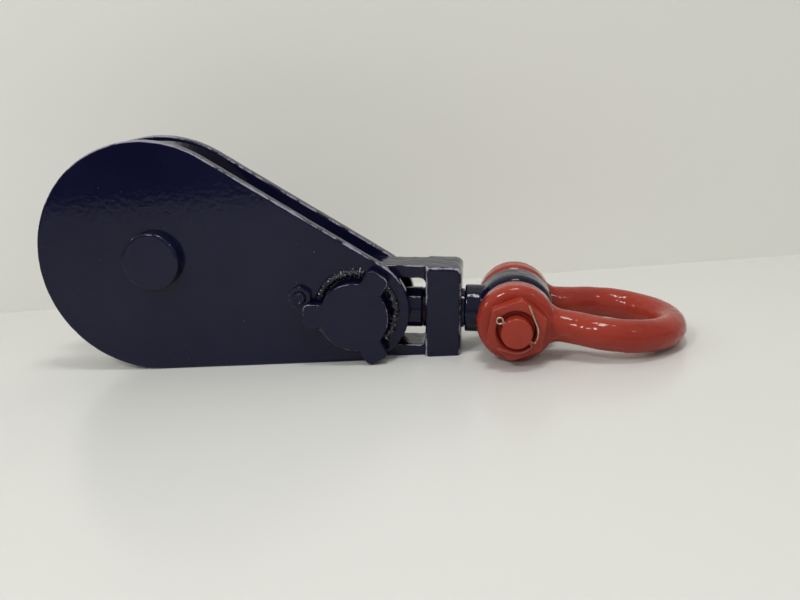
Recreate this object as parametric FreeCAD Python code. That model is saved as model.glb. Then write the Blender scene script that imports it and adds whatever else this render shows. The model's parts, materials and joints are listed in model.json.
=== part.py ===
import FreeCAD, Part
import math
import os
from FreeCAD import Vector

# Swivel shackle snatch block for wire rope, standing on the straight lower edge of its two side plates.
# Millimetres. The origin is the middle of the sheave, on the centre pin's axis. +X points to the
# shackle, +Y goes from the front plate to the rear plate, and +Z is up.

os.makedirs("parts", exist_ok=True)

# Side plates: a big round end at the sheave, a small one at the latch bolt, and two straight edges
plate_big_radius = 93.5
plate_small_radius = 42.5
plate_centre_distance = 171.65
plate_thickness = 9.5
plate_edge_break = 0.8
pin_inset = 4.2
latch_drop = 2.8

# Sheave, its bronze bushing and the thin washers beside its hub
rope_diameter = 19.0
sheave_outer_radius = 90.5
sheave_tread_radius = 73.0
sheave_width = 31.5
groove_flare = 22.5
sheave_hub_radius = 33.0
sheave_rim_inner_radius = 61.0
sheave_web_thickness = 13.0
bushing_wall = 5.0
thrust_washer_thickness = 0.9
thrust_washer_radius = 30.0

# Centre pin, from its round head on the front plate to the castle nut behind the rear plate
pin_radius = 17.5
pin_head_radius = 23.3
pin_head_height = 9.5
pin_head_chamfer = 1.3
pin_thread_radius = 12.0
pin_washer_radius = 25.0
pin_washer_thickness = 4.0
pin_nut_across_flats = 36.0
pin_nut_height = 19.0
pin_end_length = 4.0
grease_nipple_hex = 10.0

# Latch bolt: three-lobed head, round shank, a neck with two flats, and a threaded tail
latch_disc_radius = 27.4
latch_lug_reach = 40.5
latch_lug_width = 18.7
latch_lug_corner = 5.0
latch_head_top = 12.0
latch_head_thickness = 6.4
latch_boss_radius = 24.0
latch_edge_break = 0.7
latch_rest_angle = -5.0
latch_shank_radius = 14.0
latch_neck_across_flats = 20.0
latch_tail_radius = 9.5
latch_washer_radius = 22.0
latch_washer_thickness = 4.0
latch_nut_across_flats = 30.0
latch_nut_height = 16.0
latch_tail_end = 4.0
throat_clearance = 1.0

# Guard arcs around the head, and the stud with the nut that stops the head turning back
arc_inner_radius = 28.5
arc_outer_radius = 34.4
arc_height = 5.0
arc_span = 80.0
arc_edge_round = 1.2
stop_stud_radius = 5.0
stop_nut_across_flats = 17.0
stop_nut_height = 5.2
stop_stud_height = 8.5
stop_side_angle = 132.0
stop_gap = 1.8

# Yoke: a closed frame between the plates, with a heavy block for the swivel at its outer end
yoke_half_height = 38.0
yoke_arm_thickness = 10.5
yoke_arm_width = 32.5
yoke_block_width = 44.0
yoke_block_inner = 55.0
yoke_block_outer = 83.5
yoke_boss_wall = 10.0
yoke_outer_corner = 6.0
yoke_window_corner = 5.0
yoke_edge_round = 2.5

# Swivel eye, its nut and washers
swivel_reach = 126.0
swivel_stem_radius = 13.0
swivel_collar_radius = 19.2
swivel_nut_radius = 16.4
swivel_nut_length = 17.0
swivel_nut_chamfer = 1.2
swivel_nut_pin_radius = 3.0
swivel_washer_radius = 16.0
swivel_washer_thickness = 2.4
collar_washer_radius = 15.8
collar_washer_thickness = 2.0
eye_radius = 31.0
eye_width = 38.0
eye_crown = 9.0

# Shackle: a bolt-type anchor shackle of the nominal 25.4 mm size
bow_bar_radius = 12.7
bow_inside_width = 68.5
bow_inside_length = 95.5
jaw_width = 42.9
ear_radius = 30.25
ear_edge_round = 7.0
shoulder_bend_radius = 60.0
neck_length = 36.0
shackle_pin_radius = 14.35
shackle_pin_end_radius = 11.8
shackle_pin_end_length = 8.4
shackle_pin_end_recess = 5.0
shackle_hex_across_flats = 42.0
shackle_nut_height = 14.0
shackle_head_height = 15.0
shackle_nut_mouth_radius = 15.6
shackle_nut_angle = 77.0
hex_chamfer_share = 0.96

# Cotter pins: wire size, and the eye that stops each one in its hole
nut_cotter_wire = 1.1
shackle_cotter_wire = 0.9
cotter_leg_share = 1.05
cotter_eye_share = 2.6
cotter_eye_thickness = 1.12
cotter_core_share = 0.6
cotter_bend_share = 2.0
shackle_cotter_angle = -40.0
shackle_cotter_wraps = (46.0, 58.0)
shackle_cotter_tails = (17.0, 10.0)
nut_cotter_wraps = (15.0, 15.0)
nut_cotter_tails = (6.0, 6.0)

# Clearances
running_gap = 0.05
body_gap = 0.3
floor_gap = 0.2

# Places worked out from the sizes above
plate_slope = math.degrees(math.asin((plate_big_radius - plate_small_radius) / plate_centre_distance))
plate_gap = sheave_width + 2 * (thrust_washer_thickness + 2 * running_gap)
inner_face = plate_gap / 2
outer_face = inner_face + plate_thickness


def polar(radius, degrees, x=0.0, z=0.0):
    """A point in the XZ plane, turned from +X towards +Z."""
    angle = math.radians(degrees)
    return Vector(x + radius * math.cos(angle), 0, z + radius * math.sin(angle))


big_centre = polar(-pin_inset, -plate_slope)
small_centre = polar(plate_centre_distance - pin_inset, -plate_slope)
latch = small_centre + polar(latch_drop, -90 - plate_slope)
latch_distance = latch.Length
latch_bearing = math.degrees(math.atan2(latch.z, latch.x))
floor = big_centre.z - plate_big_radius
shackle_height = floor + floor_gap + ear_radius
yoke_angle = math.degrees(math.asin((shackle_height - latch.z) / swivel_reach))
shackle_place = latch + polar(swivel_reach, yoke_angle)
bow_centre_width = bow_inside_width / 2 + bow_bar_radius
crown_distance = shackle_pin_radius + bow_inside_length + bow_bar_radius
bow_angle = math.degrees(math.asin((bow_bar_radius - ear_radius) / crown_distance))
ear_middle = jaw_width / 2 + bow_bar_radius
ear_outer_face = jaw_width / 2 + 2 * bow_bar_radius


def cylinder_y(radius, y_from, y_to, x=0.0, z=0.0):
    return Part.makeCylinder(radius, y_to - y_from, Vector(x, y_from, z), Vector(0, 1, 0))


def cylinder_x(radius, x_from, x_to):
    return Part.makeCylinder(radius, x_to - x_from, Vector(x_from, 0, 0), Vector(1, 0, 0))


def ring_y(outer, inner, y_from, y_to, x=0.0, z=0.0):
    return cylinder_y(outer, y_from, y_to, x, z).cut(cylinder_y(inner, y_from - 1, y_to + 1, x, z))


def box_between(x_from, x_to, y_from, y_to, z_from, z_to):
    return Part.makeBox(x_to - x_from, y_to - y_from, z_to - z_from, Vector(x_from, y_from, z_from))


def hexagon_y(across_flats, y_from, y_to, corner_angle=30.0):
    """Hexagonal prism about the Y axis, with its corners cut by a cone at both ends."""
    corner = across_flats / math.sqrt(3)
    points = [polar(corner, corner_angle + 60 * side) + Vector(0, y_from, 0) for side in range(7)]
    prism = Part.Face(Part.makePolygon(points)).extrude(Vector(0, y_to - y_from, 0))
    barrel = cylinder_y(corner * hex_chamfer_share + (y_to - y_from) * 0.05, y_from, y_to)
    rims = [edge for edge in barrel.Edges if edge.Closed]
    return prism.common(barrel.makeChamfer((y_to - y_from) * 0.12, rims))


def edges_on_plane(shape, axis, value):
    """Edges whose points all lie where one coordinate, 0 for X to 2 for Z, has the given value."""
    found = []
    for edge in shape.Edges:
        box = edge.BoundBox
        low = (box.XMin, box.YMin, box.ZMin)[axis]
        high = (box.XMax, box.YMax, box.ZMax)[axis]
        if abs(low - value) < 0.01 and abs(high - value) < 0.01:
            found.append(edge)
    return found


def turn(shape, degrees):
    """Turn about the Y axis through the origin, from +X towards +Z."""
    return shape.rotated(Vector(0, 0, 0), Vector(0, -1, 0), degrees)


def teardrop(y_from, y_to):
    """The plate's outline: two arcs joined by their common tangents, the lower one level."""
    top = 90 - 2 * plate_slope
    big_low = polar(plate_big_radius, -90, big_centre.x, big_centre.z)
    big_far = polar(plate_big_radius, 180 - plate_slope, big_centre.x, big_centre.z)
    big_top = polar(plate_big_radius, top, big_centre.x, big_centre.z)
    small_low = polar(plate_small_radius, -90, small_centre.x, small_centre.z)
    small_far = polar(plate_small_radius, -plate_slope, small_centre.x, small_centre.z)
    small_top = polar(plate_small_radius, top, small_centre.x, small_centre.z)
    outline = Part.Wire([
        Part.makeLine(big_low, small_low),
        Part.Arc(small_low, small_far, small_top).toShape(),
        Part.makeLine(small_top, big_top),
        Part.Arc(big_top, big_far, big_low).toShape(),
    ])
    plate = Part.Face(outline).extrude(Vector(0, y_to - y_from, 0))
    plate.translate(Vector(0, y_from, 0))
    return plate


def front_side_plate():
    plate = teardrop(-outer_face, -inner_face)
    plate = plate.makeChamfer(plate_edge_break, edges_on_plane(plate, 1, -outer_face))
    plate = plate.cut(cylinder_y(pin_radius + running_gap, -outer_face - 1, 0))
    plate = plate.cut(cylinder_y(latch_shank_radius + running_gap, -outer_face - 1, 0, latch.x, latch.z))
    stud = stop_place()
    return plate.cut(cylinder_y(stop_stud_radius, -outer_face - 1, 0, stud.x, stud.z))


def rear_side_plate():
    """The opening plate: a round pocket for the bolt, and a throat that runs out at the lower edge."""
    plate = teardrop(inner_face, outer_face)
    plate = plate.makeChamfer(plate_edge_break, edges_on_plane(plate, 1, outer_face))
    plate = plate.cut(cylinder_y(pin_radius + running_gap, 0, outer_face + 1))
    pocket_radius = latch_shank_radius + body_gap
    plate = plate.cut(cylinder_y(pocket_radius, 0, outer_face + 1, latch.x, latch.z))
    half_throat = latch_neck_across_flats / 2 + throat_clearance
    throat = ring_y(latch_distance + half_throat, latch_distance - half_throat, 0, outer_face + 1)
    reach = 2 * latch_distance
    corners = [
        Vector(0, 0, 0),
        polar(reach, latch_bearing),
        polar(reach, latch_bearing - 20),
        polar(reach, latch_bearing - 40),
    ]
    sector = Part.Face(Part.makePolygon(corners + corners[:1])).extrude(Vector(0, outer_face + 1, 0))
    return plate.cut(throat.common(sector))


def stop_place():
    """The stud stands a little clear of the upper corner of the left lug."""
    along = polar(latch_lug_reach - latch_lug_corner, 180 + latch_rest_angle)
    across = polar(latch_lug_width / 2 - latch_lug_corner, 90 + latch_rest_angle)
    return latch + along + across + polar(latch_lug_corner + stop_stud_radius + stop_gap, stop_side_angle)


def guard_arcs():
    """Three short welded arcs about the plate's small end, which shield the head between its lugs."""
    top = -outer_face - arc_height
    corners = [
        Vector(arc_inner_radius, -outer_face, 0),
        Vector(arc_outer_radius, -outer_face, 0),
        Vector(arc_outer_radius, top, 0),
        Vector(arc_inner_radius, top, 0),
    ]
    section = Part.Face(Part.makePolygon(corners + corners[:1]))
    arcs = []
    for index in range(3):
        middle = latch_rest_angle - 120 * index
        arc = section.revolve(Vector(0, 0, 0), Vector(0, -1, 0), arc_span)
        arc = arc.makeFillet(arc_edge_round, edges_on_plane(arc, 1, -outer_face - arc_height))
        arc = turn(arc, middle - arc_span / 2)
        arc.translate(small_centre)
        arcs.append(arc)
    return Part.makeCompound(arcs)


def stop_stud():
    place = stop_place()
    end = -outer_face - stop_stud_height
    stud = cylinder_y(stop_stud_radius, end, -inner_face - body_gap, place.x, place.z)
    return stud.makeChamfer(0.8, edges_on_plane(stud, 1, end))


def stop_nut():
    place = stop_place()
    nut = hexagon_y(stop_nut_across_flats, -outer_face - stop_nut_height, -outer_face, 25.0)
    nut = nut.cut(cylinder_y(stop_stud_radius, -outer_face - 20, 0))
    nut.translate(place)
    return nut


def sheave():
    """Turned wheel: rope groove in the rim, thinner web, full-width hub bored for the bushing."""
    half = sheave_width / 2
    groove_radius = rope_diameter / 2 * 1.06
    groove_centre = sheave_tread_radius + groove_radius
    side = math.radians(groove_flare)
    tangent_y = groove_radius * math.cos(side)
    tangent_r = groove_centre - groove_radius * math.sin(side)
    lip_y = tangent_y + (sheave_outer_radius - tangent_r) * math.tan(side)
    bore = pin_radius + running_gap + bushing_wall
    web = sheave_web_thickness / 2
    draft = 2.0

    def at(y, r):
        return Vector(r, y, 0)

    edges = [Part.Arc(at(-tangent_y, tangent_r), at(0, sheave_tread_radius), at(tangent_y, tangent_r)).toShape()]
    outline = [
        at(tangent_y, tangent_r),
        at(lip_y, sheave_outer_radius),
        at(half, sheave_outer_radius),
        at(half, sheave_rim_inner_radius),
        at(web, sheave_rim_inner_radius - draft),
        at(web, sheave_hub_radius + draft),
        at(half, sheave_hub_radius),
        at(half, bore),
        at(-half, bore),
        at(-half, sheave_hub_radius),
        at(-web, sheave_hub_radius + draft),
        at(-web, sheave_rim_inner_radius - draft),
        at(-half, sheave_rim_inner_radius),
        at(-half, sheave_outer_radius),
        at(-lip_y, sheave_outer_radius),
        at(-tangent_y, tangent_r),
    ]
    for start, end in zip(outline, outline[1:]):
        edges.append(Part.makeLine(start, end))
    return Part.Face(Part.Wire(edges)).revolve(Vector(0, 0, 0), Vector(0, 1, 0), 360)


def sheave_bushing():
    outer = pin_radius + running_gap + bushing_wall
    return ring_y(outer, pin_radius + running_gap, -sheave_width / 2, sheave_width / 2)


def thrust_washers():
    start = sheave_width / 2 + running_gap
    end = start + thrust_washer_thickness
    bore = pin_radius + running_gap
    return Part.makeCompound([
        ring_y(thrust_washer_radius, bore, start, end),
        ring_y(thrust_washer_radius, bore, -end, -start),
    ])


def centre_pin():
    head_face = -outer_face - pin_head_height
    shoulder = outer_face + body_gap
    tip = shoulder + pin_washer_thickness + pin_nut_height + pin_end_length
    head = cylinder_y(pin_head_radius, head_face, -outer_face)
    head = head.makeChamfer(pin_head_chamfer, edges_on_plane(head, 1, head_face))
    pin = head.fuse([cylinder_y(pin_radius, -outer_face, shoulder), cylinder_y(pin_thread_radius, shoulder, tip)])
    pin = pin.makeChamfer(1.5, edges_on_plane(pin, 1, tip))
    nipple_hole = cylinder_y(grease_nipple_hex / 2 - 2, tip - 4.3, tip + 1)
    hole = cotter_hole(pin_cotter_height(), pin_thread_radius, nut_cotter_wire)
    return pin.cut([nipple_hole, hole]).removeSplitter()


def pin_cotter_height():
    return outer_face + body_gap + pin_washer_thickness + pin_nut_height - castle_depth(pin_nut_height) / 2


def latch_cotter_height():
    return latch_shoulder() + latch_washer_thickness + latch_nut_height - castle_depth(latch_nut_height) / 2


def latch_shoulder():
    return outer_face + body_gap


def castle_depth(height):
    return height * 0.32


def cotter_reach(wire):
    """How far both legs of a cotter, side by side, reach from their middle."""
    return wire * (1 + cotter_leg_share)


def cotter_hole(y, radius, wire, angle=0.0):
    """A hole across a pin's end, with room for both legs of the cotter."""
    hole = cylinder_x(cotter_reach(wire) + running_gap, -2 * radius, 2 * radius)
    hole = turn(hole, angle)
    hole.translate(Vector(0, y, 0))
    return hole


def castle_nut(across_flats, height, bore, y_from):
    nut = hexagon_y(across_flats, y_from, y_from + height, 30.0)
    nut = nut.cut(cylinder_y(bore + running_gap, y_from - 1, y_from + height + 1))
    slot_half = cotter_reach(nut_cotter_wire) + running_gap
    top = y_from + height
    depth = castle_depth(height)
    slots = []
    for index in range(3):
        slot = box_between(-across_flats, across_flats, top - depth, top + 1, -slot_half, slot_half)
        slots.append(turn(slot, 60 * index))
    return nut.cut(slots)


def washer(outer, bore, y_from, thickness):
    return ring_y(outer, bore + running_gap, y_from, y_from + thickness)


def bent_wire(radius, start, heading, moves):
    """Round wire in the XZ plane. Each move is a bend radius, or 0 for straight, and a length or an angle."""
    place = start
    runs = []
    for bend, amount in moves:
        section = Part.Face(Part.Wire(Part.makeCircle(radius, place, polar(1, heading))))
        if bend == 0:
            runs.append(section.extrude(polar(amount, heading)))
            place = place + polar(amount, heading)
            continue
        inward = heading + math.copysign(90, amount)
        centre = place + polar(bend, inward)
        runs.append(section.revolve(centre, Vector(0, -1, 0), amount))
        heading = heading + amount
        place = centre + polar(bend, inward + 180 + amount)
    return runs[0].fuse(runs[1:])


def cotter_leg(side, wire, exit_distance, start, wrap_angle, tail):
    """One leg: straight through the hole, a tight bend, round the pin, then a straight tail."""
    bend = wire * cotter_bend_share
    offset = wire * cotter_leg_share
    turned = 90.0
    for _ in range(20):
        x = exit_distance + bend * math.sin(math.radians(turned))
        z = offset + bend * (1 - math.cos(math.radians(turned)))
        turned = 90 + math.degrees(math.atan2(z, x))
    wrap_radius = math.hypot(x, z)
    moves = [
        (0, exit_distance - start),
        (bend, side * turned),
        (wrap_radius, side * wrap_angle),
        (0, tail),
    ]
    return bent_wire(wire, Vector(start, 0, side * offset), 0, moves)


def cotter(y, wire, stub_radius, angle, wraps, tails):
    """A cotter pin across a stub: open eye on one side, two legs bent round the stub on the other."""
    exit_distance = stub_radius + 2 * wire
    loop_radius = wire * cotter_eye_share
    loop_thickness = wire * cotter_eye_thickness
    loop_x = -stub_radius - body_gap - loop_thickness - loop_radius
    neck = loop_x + math.sqrt(loop_radius ** 2 - (wire * cotter_leg_share) ** 2)
    loop = Part.makeTorus(loop_radius, loop_thickness, Vector(loop_x, 0, 0), Vector(0, 1, 0))
    core = cylinder_x(wire * cotter_core_share, neck, exit_distance - wire / 2)
    legs = [
        cotter_leg(1, wire, exit_distance, neck, wraps[0], tails[0]),
        cotter_leg(-1, wire, exit_distance, neck, wraps[1], tails[1]),
    ]
    pin = loop.fuse([core] + legs).removeSplitter()
    pin = turn(pin, angle)
    pin.translate(Vector(0, y, 0))
    return pin


def grease_nipple():
    start = outer_face + body_gap + pin_washer_thickness + pin_nut_height + pin_end_length
    stem = cylinder_y(grease_nipple_hex / 2 - 2, start - 4, start)
    base = hexagon_y(grease_nipple_hex, start, start + 4)
    cone = Part.makeCone(grease_nipple_hex / 2 - 0.8, 2.4, 5, Vector(0, start + 4, 0), Vector(0, 1, 0))
    ball = Part.makeSphere(3.2, Vector(0, start + 9.5, 0))
    return stem.fuse([base, cone, ball])


def lobed_head(y_from, y_to):
    """Round disc with three square lugs whose outer corners are rounded."""
    parts = [cylinder_y(latch_disc_radius, y_from, y_to)]
    half = latch_lug_width / 2
    for index in range(3):
        lug = box_between(0, latch_lug_reach, y_from, y_to, -half, half)
        corners = [edge for edge in edges_on_plane(lug, 0, latch_lug_reach)
                   if abs(edge.BoundBox.YLength - (y_to - y_from)) < 0.01]
        lug = lug.makeFillet(latch_lug_corner, corners)
        parts.append(turn(lug, 60 + latch_rest_angle + 120 * index))
    head = parts[0].fuse(parts[1:]).removeSplitter()
    return head.makeChamfer(latch_edge_break, edges_on_plane(head, 1, y_from))


def latch_bolt():
    head_face = -outer_face - latch_head_top
    head_back = head_face + latch_head_thickness
    boss_back = -outer_face - body_gap
    neck_start = inner_face - body_gap
    shoulder = latch_shoulder()
    tip = shoulder + latch_washer_thickness + latch_nut_height + latch_tail_end
    half_flats = latch_neck_across_flats / 2
    neck = cylinder_y(latch_shank_radius, neck_start, shoulder)
    flats = box_between(-half_flats, half_flats, neck_start, shoulder, -30, 30)
    flats = turn(flats, latch_bearing)
    neck = neck.common(flats)
    tail = cylinder_y(latch_tail_radius, shoulder, tip)
    tail = tail.makeChamfer(1.2, edges_on_plane(tail, 1, tip))
    tail = tail.cut(cotter_hole(latch_cotter_height(), latch_tail_radius, nut_cotter_wire))
    bolt = lobed_head(head_face, head_back)
    bolt = bolt.fuse([
        cylinder_y(latch_boss_radius, head_back, boss_back),
        cylinder_y(latch_shank_radius, boss_back, neck_start),
        neck,
        tail,
    ])
    bolt = bolt.removeSplitter()
    bolt.translate(latch)
    return bolt


def latch_hardware():
    shoulder = latch_shoulder()
    ring = washer(latch_washer_radius, latch_tail_radius, shoulder, latch_washer_thickness)
    nut_start = shoulder + latch_washer_thickness
    nut = castle_nut(latch_nut_across_flats, latch_nut_height, latch_tail_radius, nut_start)
    pin = cotter(latch_cotter_height(), nut_cotter_wire, latch_nut_across_flats / 2, 0,
                 nut_cotter_wraps, nut_cotter_tails)
    for piece in (ring, nut, pin):
        piece.translate(latch)
    return ring, nut, pin


def to_yoke(shape):
    """Move a piece from the yoke's own frame, with the latch bolt at its origin, to its place."""
    placed = turn(shape, yoke_angle)
    placed.translate(latch)
    return placed


def yoke():
    """Strap of the yoke: a round boss on the latch bolt, and two arms that end against the block."""
    half = yoke_half_height
    arm = yoke_arm_width / 2
    boss_outer = cylinder_y(half, -arm, arm)
    arms = box_between(0, yoke_block_inner, -arm, arm, -half, half)
    inner_half = half - yoke_arm_thickness
    boss = latch_shank_radius + running_gap + yoke_boss_wall
    window = box_between(0, yoke_block_inner, -half, half, -inner_half, inner_half)
    window = window.cut(cylinder_y(boss, -half, half))
    upright = [edge for edge in edges_on_plane(window, 0, yoke_block_inner)
               if edge.BoundBox.YLength > half]
    window = window.makeFillet(yoke_window_corner, upright)
    body = boss_outer.fuse(arms).cut(window)
    body = body.cut(cylinder_y(latch_shank_radius + running_gap, -half, half))
    return to_yoke(body.removeSplitter())


def yoke_block():
    """Heavy block welded across the ends of the arms, bored for the swivel's stem."""
    half = yoke_half_height
    wide = yoke_block_width / 2
    block = box_between(yoke_block_inner, yoke_block_outer, -wide, wide, -half, half)
    outer_corners = [edge for edge in edges_on_plane(block, 0, yoke_block_outer)
                     if edge.BoundBox.YLength > wide]
    block = block.makeFillet(yoke_outer_corner, outer_corners)
    rims = edges_on_plane(block, 1, -wide) + edges_on_plane(block, 1, wide)
    block = block.makeFillet(yoke_edge_round, rims)
    bore = cylinder_x(swivel_stem_radius + running_gap, yoke_block_inner - 1, yoke_block_outer + 1)
    return to_yoke(block.cut(bore))


def nut_front():
    return yoke_block_inner - swivel_washer_thickness - body_gap


def collar_start():
    return yoke_block_outer + collar_washer_thickness + body_gap


def swivel_nut():
    end = nut_front()
    start = end - swivel_nut_length
    nut = cylinder_x(swivel_nut_radius, start, end)
    nut = nut.makeChamfer(swivel_nut_chamfer, edges_on_plane(nut, 0, start) + edges_on_plane(nut, 0, end))
    nut = nut.cut(cylinder_x(swivel_stem_radius, start - 1, end + 1))
    return to_yoke(nut.cut(nut_pin_body(running_gap)))


def nut_pin_body(extra=0.0):
    """The pin that locks the nut to the stem, across both."""
    length = 2 * swivel_nut_radius - 2.0 + 4 * extra
    middle = nut_front() - swivel_nut_length / 2
    return Part.makeCylinder(swivel_nut_pin_radius + extra, length, Vector(middle, 0, -length / 2),
                             Vector(0, 0, 1))


def swivel_eye():
    """Forged eye with a collar that bears on the block, and a stem through it to the nut."""
    half = eye_width / 2
    eye = cylinder_y(eye_radius, -half, half)
    eye = eye.makeFillet(eye_crown, edges_on_plane(eye, 1, -half) + edges_on_plane(eye, 1, half))
    eye.translate(Vector(swivel_reach, 0, 0))
    start = collar_start()
    collar = cylinder_x(swivel_collar_radius, start, swivel_reach - eye_radius / 2)
    collar = collar.makeChamfer(1.0, edges_on_plane(collar, 0, start))
    stem = cylinder_x(swivel_stem_radius, nut_front() - swivel_nut_length, start)
    body = eye.fuse([collar, stem])
    bore = shackle_pin_radius + body_gap
    body = body.cut([cylinder_y(bore, -eye_width, eye_width, swivel_reach, 0), nut_pin_body(running_gap)])
    return to_yoke(body.removeSplitter())


def ring_x(outer, inner, x_from, x_to):
    return to_yoke(cylinder_x(outer, x_from, x_to).cut(cylinder_x(inner, x_from - 1, x_to + 1)))


def to_shackle(shape, angle=0.0):
    placed = turn(shape, angle)
    placed.translate(shackle_place)
    return placed


def shoulder_start():
    """How far from the pin the straight neck ends and the shoulder bends out to the bow."""
    spread = ear_middle + shoulder_bend_radius
    reach = bow_centre_width + shoulder_bend_radius
    return crown_distance - bow_centre_width - math.sqrt(reach * reach - spread * spread)


def neck_path(x):
    """Sideways shift and slope angle of the bar's middle line at a distance from the pin."""
    past = max(0.0, x - shoulder_start())
    lean = math.asin(past / shoulder_bend_radius)
    return shoulder_bend_radius * (1 - math.cos(lean)), lean


def bow_bar(side):
    """One half of the round bar: the bend that leads out of the neck, then half of the bow."""
    start = shoulder_start()
    centre_x = crown_distance - bow_centre_width
    spread = ear_middle + shoulder_bend_radius
    swing = math.degrees(math.atan2(centre_x - start, spread))
    shift, lean = neck_path(neck_length)
    joint = Vector(neck_length, side * (ear_middle + shift), 0)
    heading = Vector(math.cos(lean), side * math.sin(lean), 0)
    straight = max(0.0, start - neck_length)
    runs = []
    if straight > 0:
        end = Part.Face(Part.Wire(Part.makeCircle(bow_bar_radius, joint, heading)))
        runs.append(end.extrude(heading * straight))
    first = Part.Face(Part.Wire(Part.makeCircle(bow_bar_radius, joint + heading * straight, heading)))
    pivot = Vector(start, side * spread, 0)
    bend = first.revolve(pivot, Vector(0, 0, 1), side * (swing - math.degrees(lean)))
    crown = Part.Face(Part.Wire(Part.makeCircle(bow_bar_radius, Vector(crown_distance, 0, 0), Vector(0, 1, 0))))
    half = crown.revolve(Vector(centre_x, 0, 0), Vector(0, 0, 1), side * (90 + swing))
    return bend.fuse(runs + [half])


def ear_and_neck(side):
    """Ear with rounded edges, and the neck that narrows from it to the round bar."""
    y = side * ear_middle
    end = neck_length
    fillet = (bow_bar_radius ** 2 + end ** 2 - ear_radius ** 2) / (2 * (ear_radius - bow_bar_radius))
    ear = cylinder_y(ear_radius, y - bow_bar_radius, y + bow_bar_radius)
    ear = ear.makeFillet(ear_edge_round, [edge for edge in ear.Edges if edge.Closed])
    touch = end * ear_radius / (ear_radius + fillet)
    sections = []
    steps = 5
    for step in range(-2, steps + 1):
        x = touch + (end - touch) * step / steps
        width = bow_bar_radius
        if step <= 0:
            height = math.sqrt(ear_radius ** 2 - x ** 2) + 0.3 * step
            width = width + 0.4 * step
        else:
            height = bow_bar_radius + fillet - math.sqrt(fillet ** 2 - (end - x) ** 2)
        shift, lean = neck_path(x)
        middle = Vector(x, y + side * shift, 0)
        heading = Vector(math.cos(lean), side * math.sin(lean), 0)
        if step == steps:
            sections.append(Part.Wire(Part.makeCircle(bow_bar_radius, middle, heading)))
            continue
        across = Vector(-math.sin(lean), side * math.cos(lean), 0) * width
        oval = Part.Ellipse(middle + Vector(0, 0, height), middle + across, middle)
        sections.append(Part.Wire(oval.toShape()))
    neck = Part.makeLoft(sections, True, False)
    return ear.fuse(neck)


def shackle_bow():
    body = bow_bar(1).fuse([bow_bar(-1), ear_and_neck(1), ear_and_neck(-1)])
    hole = shackle_pin_radius + running_gap
    body = body.cut(cylinder_y(hole, -2 * ear_outer_face, 2 * ear_outer_face))
    return to_shackle(body.removeSplitter(), bow_angle)


def shackle_tip():
    return -ear_outer_face - shackle_nut_height - shackle_pin_end_length


def shackle_cotter_height():
    return shackle_tip() + shackle_pin_end_length / 2


def shackle_pin():
    """Bolt with a hexagon head at the rear and a turned-down end for the cotter at the front."""
    face = -ear_outer_face - shackle_nut_height + shackle_pin_end_recess
    body = cylinder_y(shackle_pin_radius, face, ear_outer_face)
    head = hexagon_y(shackle_hex_across_flats, ear_outer_face, ear_outer_face + shackle_head_height, 0.0)
    end = cylinder_y(shackle_pin_end_radius, shackle_tip(), face)
    end = end.makeChamfer(1.0, edges_on_plane(end, 1, shackle_tip()))
    pin = body.fuse([head, end])
    pin = pin.cut(cotter_hole(shackle_cotter_height(), shackle_pin_end_radius, shackle_cotter_wire,
                              shackle_cotter_angle))
    return to_shackle(pin.removeSplitter())


def shackle_nut():
    face = -ear_outer_face - shackle_nut_height
    nut = hexagon_y(shackle_hex_across_flats, face, -ear_outer_face, shackle_nut_angle)
    nut = nut.cut(cylinder_y(shackle_pin_radius + running_gap, face - 1, 0))
    mouth = Part.makeCone(shackle_nut_mouth_radius, shackle_pin_radius, 3.0, Vector(0, face, 0),
                          Vector(0, 1, 0))
    return to_shackle(nut.cut(mouth))


def shackle_cotter():
    pin = cotter(shackle_cotter_height(), shackle_cotter_wire, shackle_pin_end_radius,
                 shackle_cotter_angle, shackle_cotter_wraps, shackle_cotter_tails)
    return to_shackle(pin)


def pieces():
    latch_ring, latch_castle, latch_split_pin = latch_hardware()
    nut_start = outer_face + body_gap + pin_washer_thickness
    return {
        "front_side_plate": front_side_plate(),
        "rear_side_plate": rear_side_plate(),
        "guard_arcs": guard_arcs(),
        "stop_stud": stop_stud(),
        "stop_nut": stop_nut(),
        "centre_pin": centre_pin(),
        "centre_pin_washer": washer(pin_washer_radius, pin_thread_radius, outer_face + body_gap,
                                    pin_washer_thickness),
        "centre_pin_nut": castle_nut(pin_nut_across_flats, pin_nut_height, pin_thread_radius, nut_start),
        "centre_pin_cotter": cotter(pin_cotter_height(), nut_cotter_wire, pin_nut_across_flats / 2, 0,
                                    nut_cotter_wraps, nut_cotter_tails),
        "grease_nipple": grease_nipple(),
        "thrust_washers": thrust_washers(),
        "sheave": sheave(),
        "sheave_bushing": sheave_bushing(),
        "latch_bolt": latch_bolt(),
        "latch_washer": latch_ring,
        "latch_nut": latch_castle,
        "latch_cotter": latch_split_pin,
        "yoke": yoke(),
        "yoke_block": yoke_block(),
        "swivel_thrust_washer": ring_x(swivel_washer_radius, swivel_stem_radius + running_gap,
                                       yoke_block_inner - swivel_washer_thickness, yoke_block_inner),
        "collar_washer": ring_x(collar_washer_radius, swivel_stem_radius + running_gap,
                                yoke_block_outer, yoke_block_outer + collar_washer_thickness),
        "swivel_eye": swivel_eye(),
        "swivel_nut": swivel_nut(),
        "swivel_nut_pin": to_yoke(nut_pin_body()),
        "shackle_bow": shackle_bow(),
        "shackle_pin": shackle_pin(),
        "shackle_nut": shackle_nut(),
        "shackle_cotter": shackle_cotter(),
    }


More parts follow.
